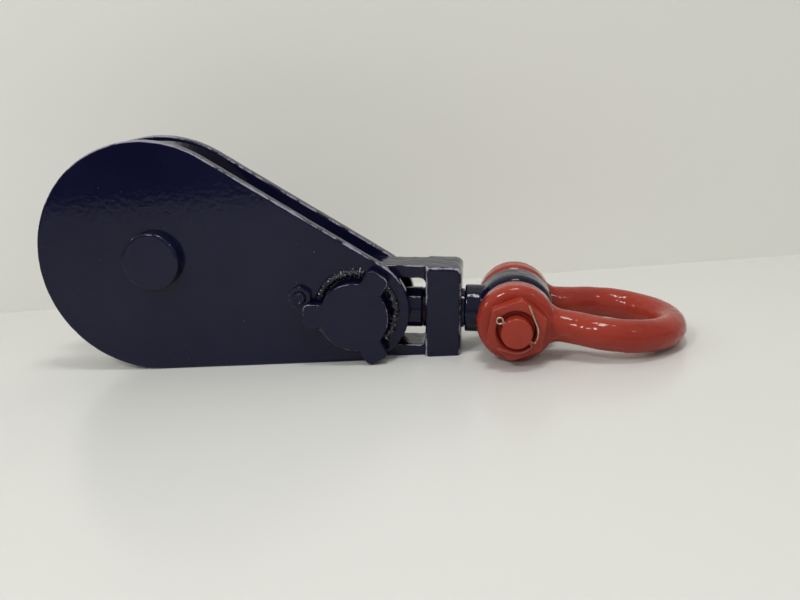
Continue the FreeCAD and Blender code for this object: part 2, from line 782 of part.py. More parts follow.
def main():
    for name, shape in pieces().items():
        solids = shape.Solids
        if len(solids) == 1:
            shape = solids[0]
        shape.exportStep("parts/" + name + ".step")
        box = shape.BoundBox
        print(f"{name:22s} solids {len(solids)} valid {shape.isValid()} volume {shape.Volume:10.1f}"
              f"  x {box.XMin:7.2f} {box.XMax:7.2f}  y {box.YMin:7.2f} {box.YMax:7.2f}"
              f"  z {box.ZMin:7.2f} {box.ZMax:7.2f}")
    print("latch", latch, "yoke angle", yoke_angle, "shackle pin", shackle_place, "bow angle", bow_angle)
    print("floor", floor, "plate slope", plate_slope, "latch bearing", latch_bearing)


main()
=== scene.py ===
# %% [markdown]
# A swivel-shackle snatch block, dressed in Blender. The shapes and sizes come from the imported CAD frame,
# and this file gives them the thick gloss enamel, the rough cut edges and the weld beads of the real one.
# The frame is loaded first, so that every later piece can be placed against a real solid.

# %% Load the CAD frame
import json
import math

import bmesh
import bpy
import numpy as np
from mathutils import Matrix, Vector, noise
from mathutils.geometry import tessellate_polygon


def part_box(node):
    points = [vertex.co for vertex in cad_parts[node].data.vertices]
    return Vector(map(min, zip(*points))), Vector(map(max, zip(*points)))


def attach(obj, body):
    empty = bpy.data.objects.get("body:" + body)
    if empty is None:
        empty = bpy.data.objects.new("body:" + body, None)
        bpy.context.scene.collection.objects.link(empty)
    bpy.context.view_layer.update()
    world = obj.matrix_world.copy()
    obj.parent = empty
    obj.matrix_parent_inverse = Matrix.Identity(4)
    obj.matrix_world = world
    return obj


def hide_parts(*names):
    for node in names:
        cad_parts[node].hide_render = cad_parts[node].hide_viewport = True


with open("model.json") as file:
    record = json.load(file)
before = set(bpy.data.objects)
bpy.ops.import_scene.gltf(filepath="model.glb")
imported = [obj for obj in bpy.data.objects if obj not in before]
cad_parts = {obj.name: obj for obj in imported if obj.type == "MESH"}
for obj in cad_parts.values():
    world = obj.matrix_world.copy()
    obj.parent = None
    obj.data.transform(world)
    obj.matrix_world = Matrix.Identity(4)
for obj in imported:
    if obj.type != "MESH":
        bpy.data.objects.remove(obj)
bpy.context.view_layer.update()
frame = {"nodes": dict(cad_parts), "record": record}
nodes = frame["nodes"]
scene = bpy.context.scene
MM = 0.001

# %% [markdown]
# The block stands on the straight lower edge of its two side plates, and the middle of its sheave is the
# origin. The rest of the file measures from a few places: the floor, the two faces of the front plate,
# and the pin and the direction of the shackle. They are read from the frame, so none is typed in here.

# %% Places on the block


def middle(name):
    """The middle of a node's box."""
    low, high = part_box(name)
    return (low + high) / 2


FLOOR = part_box("front_side_plate")[0].z
PLATE_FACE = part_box("front_side_plate")[0].y
PLATE_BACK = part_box("front_side_plate")[1].y
SHACKLE_PIN = middle("shackle_pin")
BOW_AXIS = Vector(next(m["axis"] for m in frame["record"]["mounts"] if m["name"] == "shackle_bow"))
print("floor", round(FLOOR, 4), "plate face", round(PLATE_FACE, 4), "bow towards", BOW_AXIS)


# %% [markdown]
# Colours are written as hex values, the way a paint maker would give them. Blender's shaders work with
# linear light, so one function turns such a value into linear numbers, by the curve that the sRGB
# standard gives.

# %% Colour helper
def linear(code):
    """A hex colour such as 1d1f3a as linear red, green and blue, and an alpha of one."""
    out = []
    for start in (0, 2, 4):
        value = int(code[start:start + 2], 16) / 255
        out.append(value / 12.92 if value <= 0.04045 else ((value + 0.055) / 1.055) ** 2.4)
    return (*out, 1.0)


print("navy in linear light:", [round(channel, 4) for channel in linear("14153a")])


# %% [markdown]
# Every material is a small tree of shader nodes. One helper adds a node with its settings and links, and
# another starts a material with its Principled shader, so that each finish below reads as a short list.

# %% Node helpers
def add(tree, kind, links=None, values=None, stops=(), **settings):
    """Adds a node: its settings, its sockets' values, its links, and the stops of a colour ramp."""
    node = tree.nodes.new(kind)
    for name, value in settings.items():
        setattr(node, name, value)
    for socket, value in (values or {}).items():
        node.inputs[socket].default_value = value
    for socket, source in (links or {}).items():
        tree.links.new(source, node.inputs[socket])
    for index, (position, code) in enumerate(stops):
        if index > 1:
            node.color_ramp.elements.new(position)
        node.color_ramp.elements[index].position = position
        node.color_ramp.elements[index].color = linear(code)
    return node


def start_material(name, **values):
    """A new material with a Principled shader, its tree and the piece's own Object coordinates."""
    material = bpy.data.materials.new(name)
    material.use_nodes = True
    tree = material.node_tree
    shader = tree.nodes["Principled BSDF"]
    for socket, value in values.items():
        shader.inputs[socket.replace("_", " ")].default_value = value
    return material, tree, shader, add(tree, "ShaderNodeTexCoord").outputs["Object"]


print("node helpers:", add.__name__, start_material.__name__)

# %% [markdown]
# The block is dipped or sprayed with a thick navy gloss enamel. Up close such a coat has orange peel, a
# soft ripple a few millimetres wide, and it pulls away from sharp edges, so that these look pale and
# chipped. The pale band along the edges is partly chipped paint and partly a painted highlight, the light
# that a rounded gloss edge catches. Two things find the edges here. The Bevel node compares the true
# normal with a rounded one on the crisp CAD solids, and the pieces that are made again below carry a
# "wear_and_highlight" attribute in their mesh. A noise then breaks the pale band up into chips and
# glints. The coat is smooth on rolled plate, a little lumpy on the forgings and rough on the welds. The
# red-brown of the shackle wears to a darker undercoat, and the cast sheave has a thin dark coat with
# little gloss.

# %% Gloss enamel
PEEL_SCALE = 1 / (4.5 * MM)
CHIP_AND_HIGHLIGHT_SCALE = 1 / (1.4 * MM)
CLOUD_SCALE = 1 / (70 * MM)
LUMP_SCALE = 1 / (1.5 * MM)
PATCH_SCALE = 1 / (24 * MM)
PEEL_DEPTH = 0.35 * MM
LUMP_DEPTH = 0.3 * MM
WEAR_AND_HIGHLIGHT_PATCHES = {"From Min": 0.4, "From Max": 0.58, "To Min": 0.6, "To Max": 1.25}
CHIP_AND_HIGHLIGHT_FADE = 1.4
CHIP_AND_HIGHLIGHT_ROUGHNESS = 0.5


def enamel(name, deep, face, chip_and_highlight_colour, edge_mm=0.8, chip_and_highlight_level=0.34, peel=0.2, lumps=0.0, rough=0.09,
           specular=0.26):
    """Thick gloss paint: two close shades, orange peel, and pale edges of worn paint and painted highlight.
    """
    material, tree, shader, place = start_material(name, Specular_IOR_Level=specular)
    cloud = add(tree, "ShaderNodeTexNoise", {"Vector": place}, {"Scale": CLOUD_SCALE, "Detail": 3.0})
    colour = add(tree, "ShaderNodeValToRGB", {"Fac": cloud.outputs["Fac"]},
                 stops=[(0.35, deep), (0.65, face)])
    true_normal = add(tree, "ShaderNodeNewGeometry").outputs["Normal"]
    rounded = add(tree, "ShaderNodeBevel", values={"Radius": edge_mm * MM}, samples=6).outputs["Normal"]
    match = add(tree, "ShaderNodeVectorMath", {0: rounded, 1: true_normal}, operation="DOT_PRODUCT")
    crisp = add(tree, "ShaderNodeMath", {1: match.outputs["Value"]}, {0: 1.0}, operation="SUBTRACT")
    painted_edge = add(tree, "ShaderNodeAttribute", attribute_name="wear_and_highlight").outputs["Fac"]
    edge = add(tree, "ShaderNodeMath", {0: crisp.outputs[0], 1: painted_edge}, operation="MAXIMUM")
    speck = add(tree, "ShaderNodeTexNoise", {"Vector": place},
                {"Scale": CHIP_AND_HIGHLIGHT_SCALE, "Detail": 4.0, "Roughness": 0.7})
    region = add(tree, "ShaderNodeTexNoise", {"Vector": place}, {"Scale": PATCH_SCALE, "Detail": 2.0})
    wear_and_highlight_factor = add(tree, "ShaderNodeMapRange", {"Value": region.outputs["Fac"]}, WEAR_AND_HIGHLIGHT_PATCHES)
    local = add(tree, "ShaderNodeMath", {0: edge.outputs[0], 1: wear_and_highlight_factor.outputs[0]},
                operation="MULTIPLY")
    broken = add(tree, "ShaderNodeMath", {0: local.outputs[0], 1: speck.outputs["Fac"]},
                 operation="MULTIPLY")
    # The mask of the pale edge band: partly chipped paint, partly a painted highlight along the edges.
    chip_and_highlight_mask = add(tree, "ShaderNodeMapRange", {"Value": broken.outputs[0]},
                  {"From Min": chip_and_highlight_level, "From Max": chip_and_highlight_level * CHIP_AND_HIGHLIGHT_FADE})
    paint = add(tree, "ShaderNodeMix", {0: chip_and_highlight_mask.outputs[0], 6: colour.outputs["Color"]},
                {7: linear(chip_and_highlight_colour)}, data_type="RGBA")
    tree.links.new(paint.outputs[2], shader.inputs["Base Color"])
    dull = add(tree, "ShaderNodeMapRange", {"Value": chip_and_highlight_mask.outputs[0]},
               {"To Min": rough, "To Max": CHIP_AND_HIGHLIGHT_ROUGHNESS})
    tree.links.new(dull.outputs[0], shader.inputs["Roughness"])
    ripple = add(tree, "ShaderNodeTexNoise", {"Vector": place}, {"Scale": PEEL_SCALE, "Detail": 1.5})
    bump = add(tree, "ShaderNodeBump", {"Height": ripple.outputs["Fac"]},
               {"Strength": peel, "Distance": PEEL_DEPTH})
    if lumps:
        lump = add(tree, "ShaderNodeTexNoise", {"Vector": place}, {"Scale": LUMP_SCALE, "Detail": 3.0})
        bump = add(tree, "ShaderNodeBump",
                   {"Height": lump.outputs["Fac"], "Normal": bump.outputs["Normal"]},
                   {"Strength": lumps, "Distance": LUMP_DEPTH})
    tree.links.new(bump.outputs["Normal"], shader.inputs["Normal"])
    return material


# The pale edge colours of the navy finishes are partly worn paint and partly painted highlight; on the weld
# the near-white one gives painted glints. The red's darker edge is worn paint.
NAVY = enamel("navy_gloss_enamel", "0f102b", "15162f", "8d8a9b")
NAVY_CAST = enamel("navy_enamel_on_forging", "0f1029", "14152d", "9a98a6", lumps=0.22, rough=0.1)
NAVY_WELD = enamel("navy_enamel_on_weld", "0c0d20", "111228", "d4d2da", chip_and_highlight_level=0.42, lumps=0.7,
                   rough=0.06, specular=0.5)
RED = enamel("red_brown_enamel", "8c2c20", "9f3829", "5f332d", edge_mm=0.6, chip_and_highlight_level=0.55, rough=0.14,
             specular=0.28)
CAST = enamel("dark_coat_on_cast_sheave", "0b0b18", "131322", "6c6a68", lumps=0.15, rough=0.2,
              specular=0.1)
print("enamels:", NAVY.name, NAVY_CAST.name, NAVY_WELD.name, RED.name, CAST.name)

# %% [markdown]
# Bare metals: the bushing and the thin washers are bronze, the cotter pins are zinc-plated wire, and the
# grease nipple is brass. A mottled shade and an uneven gloss keep them from looking like new chrome. The
# block was sprayed after it was put together, so the washer that shows in the yoke has paint dust on it.

# %% Bare metals
MOTTLE_SCALE = 1 / (9 * MM)
GRAIN_DEPTH = 0.1 * MM
GRAIN_STRENGTH = 0.08


def bare_metal(name, dark, light, rough_low, rough_high, grain_mm):
    """Metal with a mottled shade, uneven gloss and a fine grain."""
    material, tree, shader, place = start_material(name, Metallic=1.0)
    cloud = add(tree, "ShaderNodeTexNoise", {"Vector": place}, {"Scale": MOTTLE_SCALE, "Detail": 5.0})
    colour = add(tree, "ShaderNodeValToRGB", {"Fac": cloud.outputs["Fac"]},
                 stops=[(0.3, dark), (0.7, light)])
    tree.links.new(colour.outputs["Color"], shader.inputs["Base Color"])
    gloss = add(tree, "ShaderNodeMapRange", {"Value": cloud.outputs["Fac"]},
                {"To Min": rough_low, "To Max": rough_high})
    tree.links.new(gloss.outputs[0], shader.inputs["Roughness"])
    grain = add(tree, "ShaderNodeTexNoise", {"Vector": place},
                {"Scale": 1 / (grain_mm * MM), "Detail": 2.0})
    bump = add(tree, "ShaderNodeBump", {"Height": grain.outputs["Fac"]},
               {"Strength": GRAIN_STRENGTH, "Distance": GRAIN_DEPTH})
    tree.links.new(bump.outputs["Normal"], shader.inputs["Normal"])
    return material


BRONZE = bare_metal("turned_bronze", "8a6a3a", "b08a50", 0.28, 0.45, 0.6)
OVERSPRAY = bare_metal("bronze_under_overspray", "17151c", "332b26", 0.35, 0.55, 0.6)
ZINC = bare_metal("zinc_plated_wire", "b9b4a6", "ddd9cc", 0.25, 0.4, 0.5)
BRASS = bare_metal("brass_fitting", "a58545", "c4a25c", 0.22, 0.35, 0.8)
SPRAYED_WIRE = bare_metal("zinc_wire_with_red_overspray", "a69d8a", "d6cbb4", 0.25, 0.4, 0.5)
print("metals:", BRONZE.name, OVERSPRAY.name, ZINC.name, BRASS.name, SPRAYED_WIRE.name)

# %% [markdown]
# The cotter pin of the shackle has caught red paint on its lower leg, where it lies against the nut. Where
# there is paint the surface is no metal, so the same mask that mixes the colours also turns the metallic
# value down. The mask is a noise that is multiplied by a cover, which thins out from the bottom upwards.

# %% Red overspray on the cotter
FLECK_SCALE = 1 / (2.5 * MM)
FLECK_EDGES = {"From Min": 0.28, "From Max": 0.36}
THIN_COVER = 0.5


def spray_from_below(material, code, low, high):
    """Flecks of paint on bare metal, thick at one height and thin at another."""
    tree = material.node_tree
    shader = tree.nodes["Principled BSDF"]
    place = add(tree, "ShaderNodeTexCoord").outputs["Object"]
    height = add(tree, "ShaderNodeSeparateXYZ", {"Vector": place}).outputs["Z"]
    cover = add(tree, "ShaderNodeMapRange", {"Value": height},
                {"From Min": low, "From Max": high, "To Min": 1.0, "To Max": THIN_COVER})
    fleck = add(tree, "ShaderNodeTexNoise", {"Vector": place}, {"Scale": FLECK_SCALE, "Detail": 3.0})
    amount = add(tree, "ShaderNodeMath", {0: fleck.outputs["Fac"], 1: cover.outputs[0]},
                 operation="MULTIPLY")
    mask = add(tree, "ShaderNodeMapRange", {"Value": amount.outputs[0]}, FLECK_EDGES)
    bare = shader.inputs["Base Color"].links[0].from_socket
    mixed = add(tree, "ShaderNodeMix", {0: mask.outputs[0], 6: bare}, {7: linear(code)},
                data_type="RGBA")
    tree.links.new(mixed.outputs[2], shader.inputs["Base Color"])
    metal = add(tree, "ShaderNodeMath", {1: mask.outputs[0]}, {0: 1.0}, operation="SUBTRACT")
    tree.links.new(metal.outputs[0], shader.inputs["Metallic"])


wire_low, wire_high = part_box("shackle_cotter")
spray_from_below(SPRAYED_WIRE, "9a4034", wire_low.z, (wire_low.z + wire_high.z) / 2)
print("red flecks on the cotter from", round(wire_low.z, 4), "up")

# %% [markdown]
# The carried-over CAD solids get their finishes here. Each one keeps its shape, and only its material
# slots change. Pieces that are made again further down stand in for their solids later.

# %% Dress the CAD solids
FINISH = {
    NAVY: ["front_side_plate", "rear_side_plate", "centre_pin", "centre_pin_washer", "latch_washer",
           "stop_stud", "stop_nut", "latch_bolt", "collar_washer"],
    NAVY_CAST: ["yoke", "yoke_block", "swivel_eye", "swivel_nut", "centre_pin_nut", "latch_nut"],
    NAVY_WELD: ["guard_arcs"],
    RED: ["shackle_bow", "shackle_pin", "shackle_nut"],
    CAST: ["sheave"],
    BRONZE: ["sheave_bushing", "thrust_washers"],
    OVERSPRAY: ["swivel_thrust_washer"],
    ZINC: ["centre_pin_cotter", "latch_cotter", "swivel_nut_pin"],
    SPRAYED_WIRE: ["shackle_cotter"],
    BRASS: ["grease_nipple"],
}
for material, names in FINISH.items():
    for name in names:
        for index in range(len(nodes[name].material_slots)):
            nodes[name].material_slots[index].material = material
dressed = {name for names in FINISH.values() for name in names}
print("dressed", len(dressed), "of", len(nodes), "missing", sorted(set(nodes) - dressed))


# %% [markdown]
# Several pieces below start from a copy of a CAD solid. A CAD mesh comes as loose triangles, so the copy
# is merged first, and the solid itself stays as it is. New meshes get their finish in one helper, and
# their body in another, which also hides the CAD solids that they stand for.

# %% Helpers for new pieces
MERGE = 0.002 * MM


def merged_copy(name):
    """A bmesh of one CAD solid with its doubled points merged."""
    work = bmesh.new()
    work.from_mesh(nodes[name].data)
    bmesh.ops.remove_doubles(work, verts=work.verts, dist=MERGE)
    return work


def joined_copy(name, copied):
    """One mesh with the merged copies of several CAD solids."""
    work = bmesh.new()
    for node in copied:
        part = merged_copy(node)
        loose = bpy.data.meshes.new(node)
        part.to_mesh(loose)
        part.free()
        work.from_mesh(loose)
        bpy.data.meshes.remove(loose)
    mesh = bpy.data.meshes.new(name)
    work.to_mesh(mesh)
    work.free()
    return mesh


def new_object(name, mesh, material):
    """An object at the origin that shows a mesh in one finish, smooth all over."""
    mesh.materials.clear()
    mesh.materials.append(material)
    mesh.polygons.foreach_set("material_index", [0] * len(mesh.polygons))
    mesh.polygons.foreach_set("use_smooth", [True] * len(mesh.polygons))
    piece = bpy.data.objects.new(name, mesh)
    scene.collection.objects.link(piece)
    return piece


def bake(piece):
    """Turns a piece's modifiers into a plain mesh and removes them."""
    graph = bpy.context.evaluated_depsgraph_get()
    mesh = bpy.data.meshes.new_from_object(piece.evaluated_get(graph))
    piece.modifiers.clear()
    piece.data = mesh
    return mesh


def hand_over(piece, body, slot, *replaced):
    """The piece rides on its body and stands for the CAD nodes that it covers. The slot is not used."""
    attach(piece, body)
    if replaced:
        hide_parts(*replaced)
    print(piece.name, "on", body, "with", len(piece.data.polygons), "faces")


loose_points = sum(len(node.data.vertices) for node in nodes.values())
print("points of all the CAD solids, before any merging:", loose_points)

# %% [markdown]
# Paint wears first where a surface bends outwards most, and there a gloss edge also catches the most
# light. Along each edge of a mesh, the step between its two points is compared with the normal at each
# end, and the mean over a point's edges says how tightly the skin bends there. Handling multiplies that,
# so that a piece that is gripped and knocked a lot wears on its gentler bends too; a high handling also
# paints broad highlights on the edges. What stays above a start value goes into the attribute
# "wear_and_highlight", which is partly worn paint and partly painted highlight.

# %% Wear from the bend of a surface
WEAR_AND_HIGHLIGHT_PER_CURVE = 1.6 * MM
WEAR_AND_HIGHLIGHT_START = 0.25
SMALLEST_SQUARE = 1e-12


def point_arrays(mesh):
    """A mesh's points and normals as arrays."""
    points = np.empty(len(mesh.vertices) * 3)
    normals = np.empty(len(mesh.vertices) * 3)
    mesh.vertices.foreach_get("co", points)
    mesh.vertices.foreach_get("normal", normals)
    return points.reshape(-1, 3), normals.reshape(-1, 3)


def mark_wear_and_highlight(mesh, points, normals, handling_and_highlight, wear_and_highlight_everywhere):
    """Writes "wear_and_highlight" (worn paint and painted highlight) from how the surface bends outwards at
    each point.
    """
    ends = np.empty(len(mesh.edges) * 2, dtype=np.int64)
    mesh.edges.foreach_get("vertices", ends)
    first, second = ends[0::2], ends[1::2]
    step = points[first] - points[second]
    squared = (step ** 2).sum(axis=1) + SMALLEST_SQUARE
    total = np.zeros(len(points))
    count = np.zeros(len(points))
    np.add.at(total, first, 2 * np.einsum("ij,ij->i", step, normals[first]) / squared)
    np.add.at(total, second, -2 * np.einsum("ij,ij->i", step, normals[second]) / squared)
    np.add.at(count, first, 1)
    np.add.at(count, second, 1)
    bend = total / np.maximum(count, 1)
    # Above the start value the bend paints a pale band: worn paint, and a painted highlight where a gloss
    # edge catches light.
    wear_and_highlight = np.clip(bend * WEAR_AND_HIGHLIGHT_PER_CURVE * handling_and_highlight - WEAR_AND_HIGHLIGHT_START, 0, 1) + wear_and_highlight_everywhere
    mesh.attributes.new("wear_and_highlight", "FLOAT", "POINT").data.foreach_set("value", wear_and_highlight)


print("wear starts at a bend of", round(WEAR_AND_HIGHLIGHT_START / WEAR_AND_HIGHLIGHT_PER_CURVE), "per metre, for a handling of 1")

# %% [markdown]
# Thick paint rounds off everything it covers, and the forged pieces, which are the yoke, the swivel eye
# and the bow of the shackle, have soft edges under it. They could be modelled again by hand, but the CAD
# solids already have the right sizes. So each copy is remeshed at a millimetre or less and smoothed, which
# rounds its edges, and then two noises give the slight waviness of forged steel. The skin is also sunk a
# little, which keeps most of its waves inside the solid. The bow has a faint ridge all round, from the
# line where the two halves of the forging die met.

# %% Coat of thick paint
SMOOTHING = 0.5
SLOW_WAVE = 7 * MM
QUICK_WAVE = 2.5 * MM
QUICK_SHARE = 0.5
SINK = 0.6
RIDGE_HEIGHT = 0.3 * MM
RIDGE_WIDTH = 0.9 * MM


def coat(name, mesh, material, voxel_mm, rounds, wave_mm, handling_and_highlight, wear_and_highlight_everywhere=0.0, ridge=None):
    """A mesh under thick paint: rounded, slightly wavy, with an optional parting ridge round it."""
    piece = new_object(name, mesh, material)
    remesh = piece.modifiers.new("remesh", "REMESH")
    remesh.mode = "VOXEL"
    remesh.voxel_size = voxel_mm * MM
    smooth = piece.modifiers.new("smooth", "SMOOTH")
    smooth.factor = SMOOTHING
    smooth.iterations = rounds
    mesh = bake(piece)
    mesh.polygons.foreach_set("use_smooth", [True] * len(mesh.polygons))
    points, normals = point_arrays(mesh)
    mark_wear_and_highlight(mesh, points, normals, handling_and_highlight, wear_and_highlight_everywhere)
    waves = []
    for point in points:
        slow = noise.noise(Vector(point) / SLOW_WAVE)
        quick = noise.noise(Vector(point) / QUICK_WAVE)
        waves.append(slow + QUICK_SHARE * quick)
    shift = (np.array(waves) - SINK) * wave_mm * MM
    if ridge:
        origin, direction = ridge
        away = (points - np.array(origin)) @ np.array(direction)
        shift += RIDGE_HEIGHT * np.exp(-(away / RIDGE_WIDTH) ** 2)
    mesh.vertices.foreach_set("co", (points + normals * shift[:, None]).ravel())
    mesh.update()
    return piece


print("waves", SLOW_WAVE / MM, "and", QUICK_WAVE / MM, "mm long, ridge", RIDGE_HEIGHT / MM, "mm high")

# %% [markdown]
# The same coat goes over every painted piece but the plates and the welds. A small voxel keeps the edges
# of a small piece, and more rounds of smoothing make an edge softer. The strap of the yoke and its block
# are welded together, so one remesh runs over both. The cotter of the shackle has no worn paint, and its
# smoothing only draws the wire a little thinner.

# %% Pieces under thick paint
# Each row: name, CAD solids, body, finish, voxel in mm, rounds of smoothing, waves in mm, handling.
# A high handling also paints broad highlights on the edges.
COATED = [
    # The yoke's high handling gives its edges a broad pale band: worn paint and a painted highlight.
    ("forged_yoke", ["yoke", "yoke_block"], "yoke", NAVY_CAST, 0.85, 4, 0.18, 3.2),
    ("forged_swivel_eye", ["swivel_eye"], "swivel", NAVY_CAST, 0.9, 3, 0.2, 1.2),
    ("forged_bow", ["shackle_bow"], "shackle", RED, 1.0, 3, 0.24, 1.0),
    ("turned_swivel_nut", ["swivel_nut"], "swivel", NAVY_CAST, 0.6, 1, 0.08, 0.75),
    ("painted_latch_bolt", ["latch_bolt"], "latch", NAVY, 0.55, 2, 0.10, 1.35),
    ("painted_centre_pin", ["centre_pin"], "root", NAVY, 0.75, 1, 0.08, 0.9),
    ("painted_pin_nut", ["centre_pin_nut"], "root", NAVY_CAST, 0.6, 1, 0.08, 0.8),
    ("painted_latch_nut", ["latch_nut"], "latch", NAVY_CAST, 0.55, 1, 0.08, 0.8),
    ("painted_stop_nut", ["stop_nut"], "root", NAVY, 0.36, 2, 0.06, 0.4),
    ("painted_stop_stud", ["stop_stud"], "root", NAVY, 0.36, 2, 0.06, 0.65),
    ("painted_shackle_pin", ["shackle_pin"], "shackle", RED, 0.7, 1, 0.10, 0.9),
    ("painted_shackle_nut", ["shackle_nut"], "shackle", RED, 0.6, 1, 0.12, 0.9),
    ("sprayed_shackle_cotter", ["shackle_cotter"], "shackle", SPRAYED_WIRE, 0.3, 5, 0.35, 0.0),
]
SLOT = {NAVY: "navy_enamel", NAVY_CAST: "navy_enamel", RED: "red_enamel", SPRAYED_WIRE: "zinc_wire"}
BOW_NORMAL = Vector((-BOW_AXIS.z, 0, BOW_AXIS.x))

for name, copied, body, material, voxel_mm, rounds, wave_mm, handling_and_highlight in COATED:
    ridge = (SHACKLE_PIN, BOW_NORMAL) if name == "forged_bow" else None
    piece = coat(name, joined_copy(name, copied), material, voxel_mm, rounds, wave_mm, handling_and_highlight,
                 ridge=ridge)
    hand_over(piece, body, SLOT[material], *copied)

# %% [markdown]
# The stud beside the latch has a small hollow in its end, from the centre drill of the lathe that it was
# turned on, and the paint leaves a bright rim round it. A cut would need new edges. The skin of the stud
# is already fine enough, so the points of its end are simply pushed in, most of all at the middle.

# %% Hollow in the end of the stud
HOLLOW_RADIUS = 2.9 * MM
HOLLOW_DEPTH = 1.5 * MM
HOLLOW_REACH = 2.5 * MM
STEEP_SIDES = 4
stud = bpy.data.objects["painted_stop_stud"].data
stud_axis = middle("stop_stud")
points, _ = point_arrays(stud)
away = np.hypot(points[:, 0] - stud_axis.x, points[:, 2] - stud_axis.z)
near_end = np.clip(1 - (points[:, 1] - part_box("stop_stud")[0].y) / HOLLOW_REACH, 0, 1)
points[:, 1] += HOLLOW_DEPTH * near_end * np.exp(-(away / HOLLOW_RADIUS) ** STEEP_SIDES)
stud.vertices.foreach_set("co", points.ravel())
stud.update()
print("hollow", HOLLOW_DEPTH / MM, "mm deep in a stud of", round(away.max() / MM, 2), "mm radius")

# %% [markdown]
# The three guards round the head of the latch bolt are runs of weld metal on the front plate. A weld is a
# row of overlapping drops, so it is a job for Geometry Nodes. Two helpers come first: one starts a tree
# with named inputs, and the other runs a tree on a mesh and keeps only the plain result.

# %% Helpers for Geometry Nodes


def geometry_tree(name, **inputs):
    """A Geometry Nodes tree with named inputs, and the sockets that bring them in."""
    tree = bpy.data.node_groups.new(name, "GeometryNodeTree")
    tree.interface.new_socket(name="Geometry", in_out="INPUT", socket_type="NodeSocketGeometry")
    for label, value in inputs.items():
        kind = "NodeSocketInt" if isinstance(value, int) else "NodeSocketFloat"
        tree.interface.new_socket(name=label, in_out="INPUT", socket_type=kind).default_value = value
    tree.interface.new_socket(name="Geometry", in_out="OUTPUT", socket_type="NodeSocketGeometry")
    return tree, add(tree, "NodeGroupInput").outputs


def run_tree(tree, mesh, name, **inputs):
    """Runs a tree on a mesh and gives back the plain result."""
    carrier = bpy.data.objects.new(name, mesh)
    scene.collection.objects.link(carrier)
    modifier = carrier.modifiers.new("nodes", "NODES")
    modifier.node_group = tree
    for item in tree.interface.items_tree:
        if item.in_out == "INPUT" and item.name in inputs:
            modifier[item.identifier] = inputs[item.name]
    result = bake(carrier)
    bpy.data.objects.remove(carrier)
    return result


print("tree helpers:", geometry_tree.__name__, run_tree.__name__)

# %% [markdown]
# In the tree of the welds, an arc is divided at the spacing of the ripples, a drop stands on each point,
# and each drop differs a little in size. A drop reaches past its neighbours, so that the row closes up.
# The arc lies in the XY plane, where the Arc node makes it, and is stood upright afterwards.

# %% Tree of weld drops
RIPPLE = 2.3 * MM
ARC_STEPS = 96
SMALLEST_DROP = (0.75, 0.7, 0.9)
LARGEST_DROP = (1.15, 1.0, 1.6)


def weld_tree():
    """Drops of weld metal along an arc in the XY plane."""
    tree, given = geometry_tree("weld_drops", Radius=30 * MM, Start=0.0, Sweep=1.0, Spacing=RIPPLE,
                                Width=3 * MM, Height=5 * MM, Seed=1)
    arc = add(tree, "GeometryNodeCurveArc",
              {"Radius": given["Radius"], "Start Angle": given["Start"], "Sweep Angle": given["Sweep"]},
              {"Resolution": ARC_STEPS}, mode="RADIUS")
    spots = add(tree, "GeometryNodeCurveToPoints",
                {"Curve": arc.outputs[0], "Length": given["Spacing"]}, mode="LENGTH")
    drop = add(tree, "GeometryNodeMeshIcoSphere", values={"Radius": 1.0, "Subdivisions": 3})
    uneven = add(tree, "FunctionNodeRandomValue", {"Seed": given["Seed"]},
                 {0: SMALLEST_DROP, 1: LARGEST_DROP}, data_type="FLOAT_VECTOR")
    size = add(tree, "ShaderNodeCombineXYZ",
               {"X": given["Width"], "Y": given["Height"], "Z": given["Spacing"]})
    scale = add(tree, "ShaderNodeVectorMath", {0: uneven.outputs[0], 1: size.outputs[0]},
                operation="MULTIPLY")
    drops = add(tree, "GeometryNodeInstanceOnPoints",
                {"Points": spots.outputs["Points"], "Instance": drop.outputs["Mesh"],
                 "Rotation": spots.outputs["Rotation"], "Scale": scale.outputs[0]})
    real = add(tree, "GeometryNodeRealizeInstances", {"Geometry": drops.outputs[0]})
    painted = add(tree, "GeometryNodeSetMaterial", {"Geometry": real.outputs[0]},
                  {"Material": NAVY_WELD})
    add(tree, "NodeGroupOutput", {"Geometry": painted.outputs[0]})
    return tree


weld = weld_tree()
print("weld tree:", len(weld.nodes), "nodes, a ripple every", RIPPLE / MM, "mm")

# %% [markdown]
# The places of the three runs are read from the CAD solid, which holds three separate arcs. Its points are
# sorted into one group for each arc, and the mean of the groups is their common centre, because the three
# are spaced evenly round the latch. Each arc's angle and half span follow from its points.

# %% Where the weld runs lie


def islands(work):
    """The points of each separate solid in a bmesh."""
    left = set(work.verts)
    while left:
        found = [left.pop()]
        for vert in found:
            for edge in vert.link_edges:
                other = edge.other_vert(vert)
                if other in left:
                    left.remove(other)
                    found.append(other)
        yield [vert.co.copy() for vert in found]


def weld_runs():
    """The guards' common centre, inner and outer radius, and each one's middle angle and half span."""
    work = merged_copy("guard_arcs")
    runs = [np.array([(point.x, point.z) for point in points]) for points in islands(work)]
    work.free()
    centres = np.array([run.mean(axis=0) for run in runs])
    centre = centres.mean(axis=0)
    middles = np.arctan2(*(centres - centre).T[::-1])
    away = np.linalg.norm(np.vstack(runs) - centre, axis=1)
    spans = []
    for run, bearing in zip(runs, middles):
        turned = np.arctan2(*(run - centre).T[::-1]) - bearing
        spans.append(float(np.abs((turned + np.pi) % (2 * np.pi) - np.pi).max()))
    order = np.argsort(middles)
    return centre, away.min(), away.max(), [(float(middles[i]), spans[i]) for i in order]


guard_centre, guard_inner, guard_outer, guards = weld_runs()
guard_height = PLATE_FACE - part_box("guard_arcs")[0].y
print("weld runs about", guard_centre, "radius", round(guard_inner, 4), "to", round(guard_outer, 4))

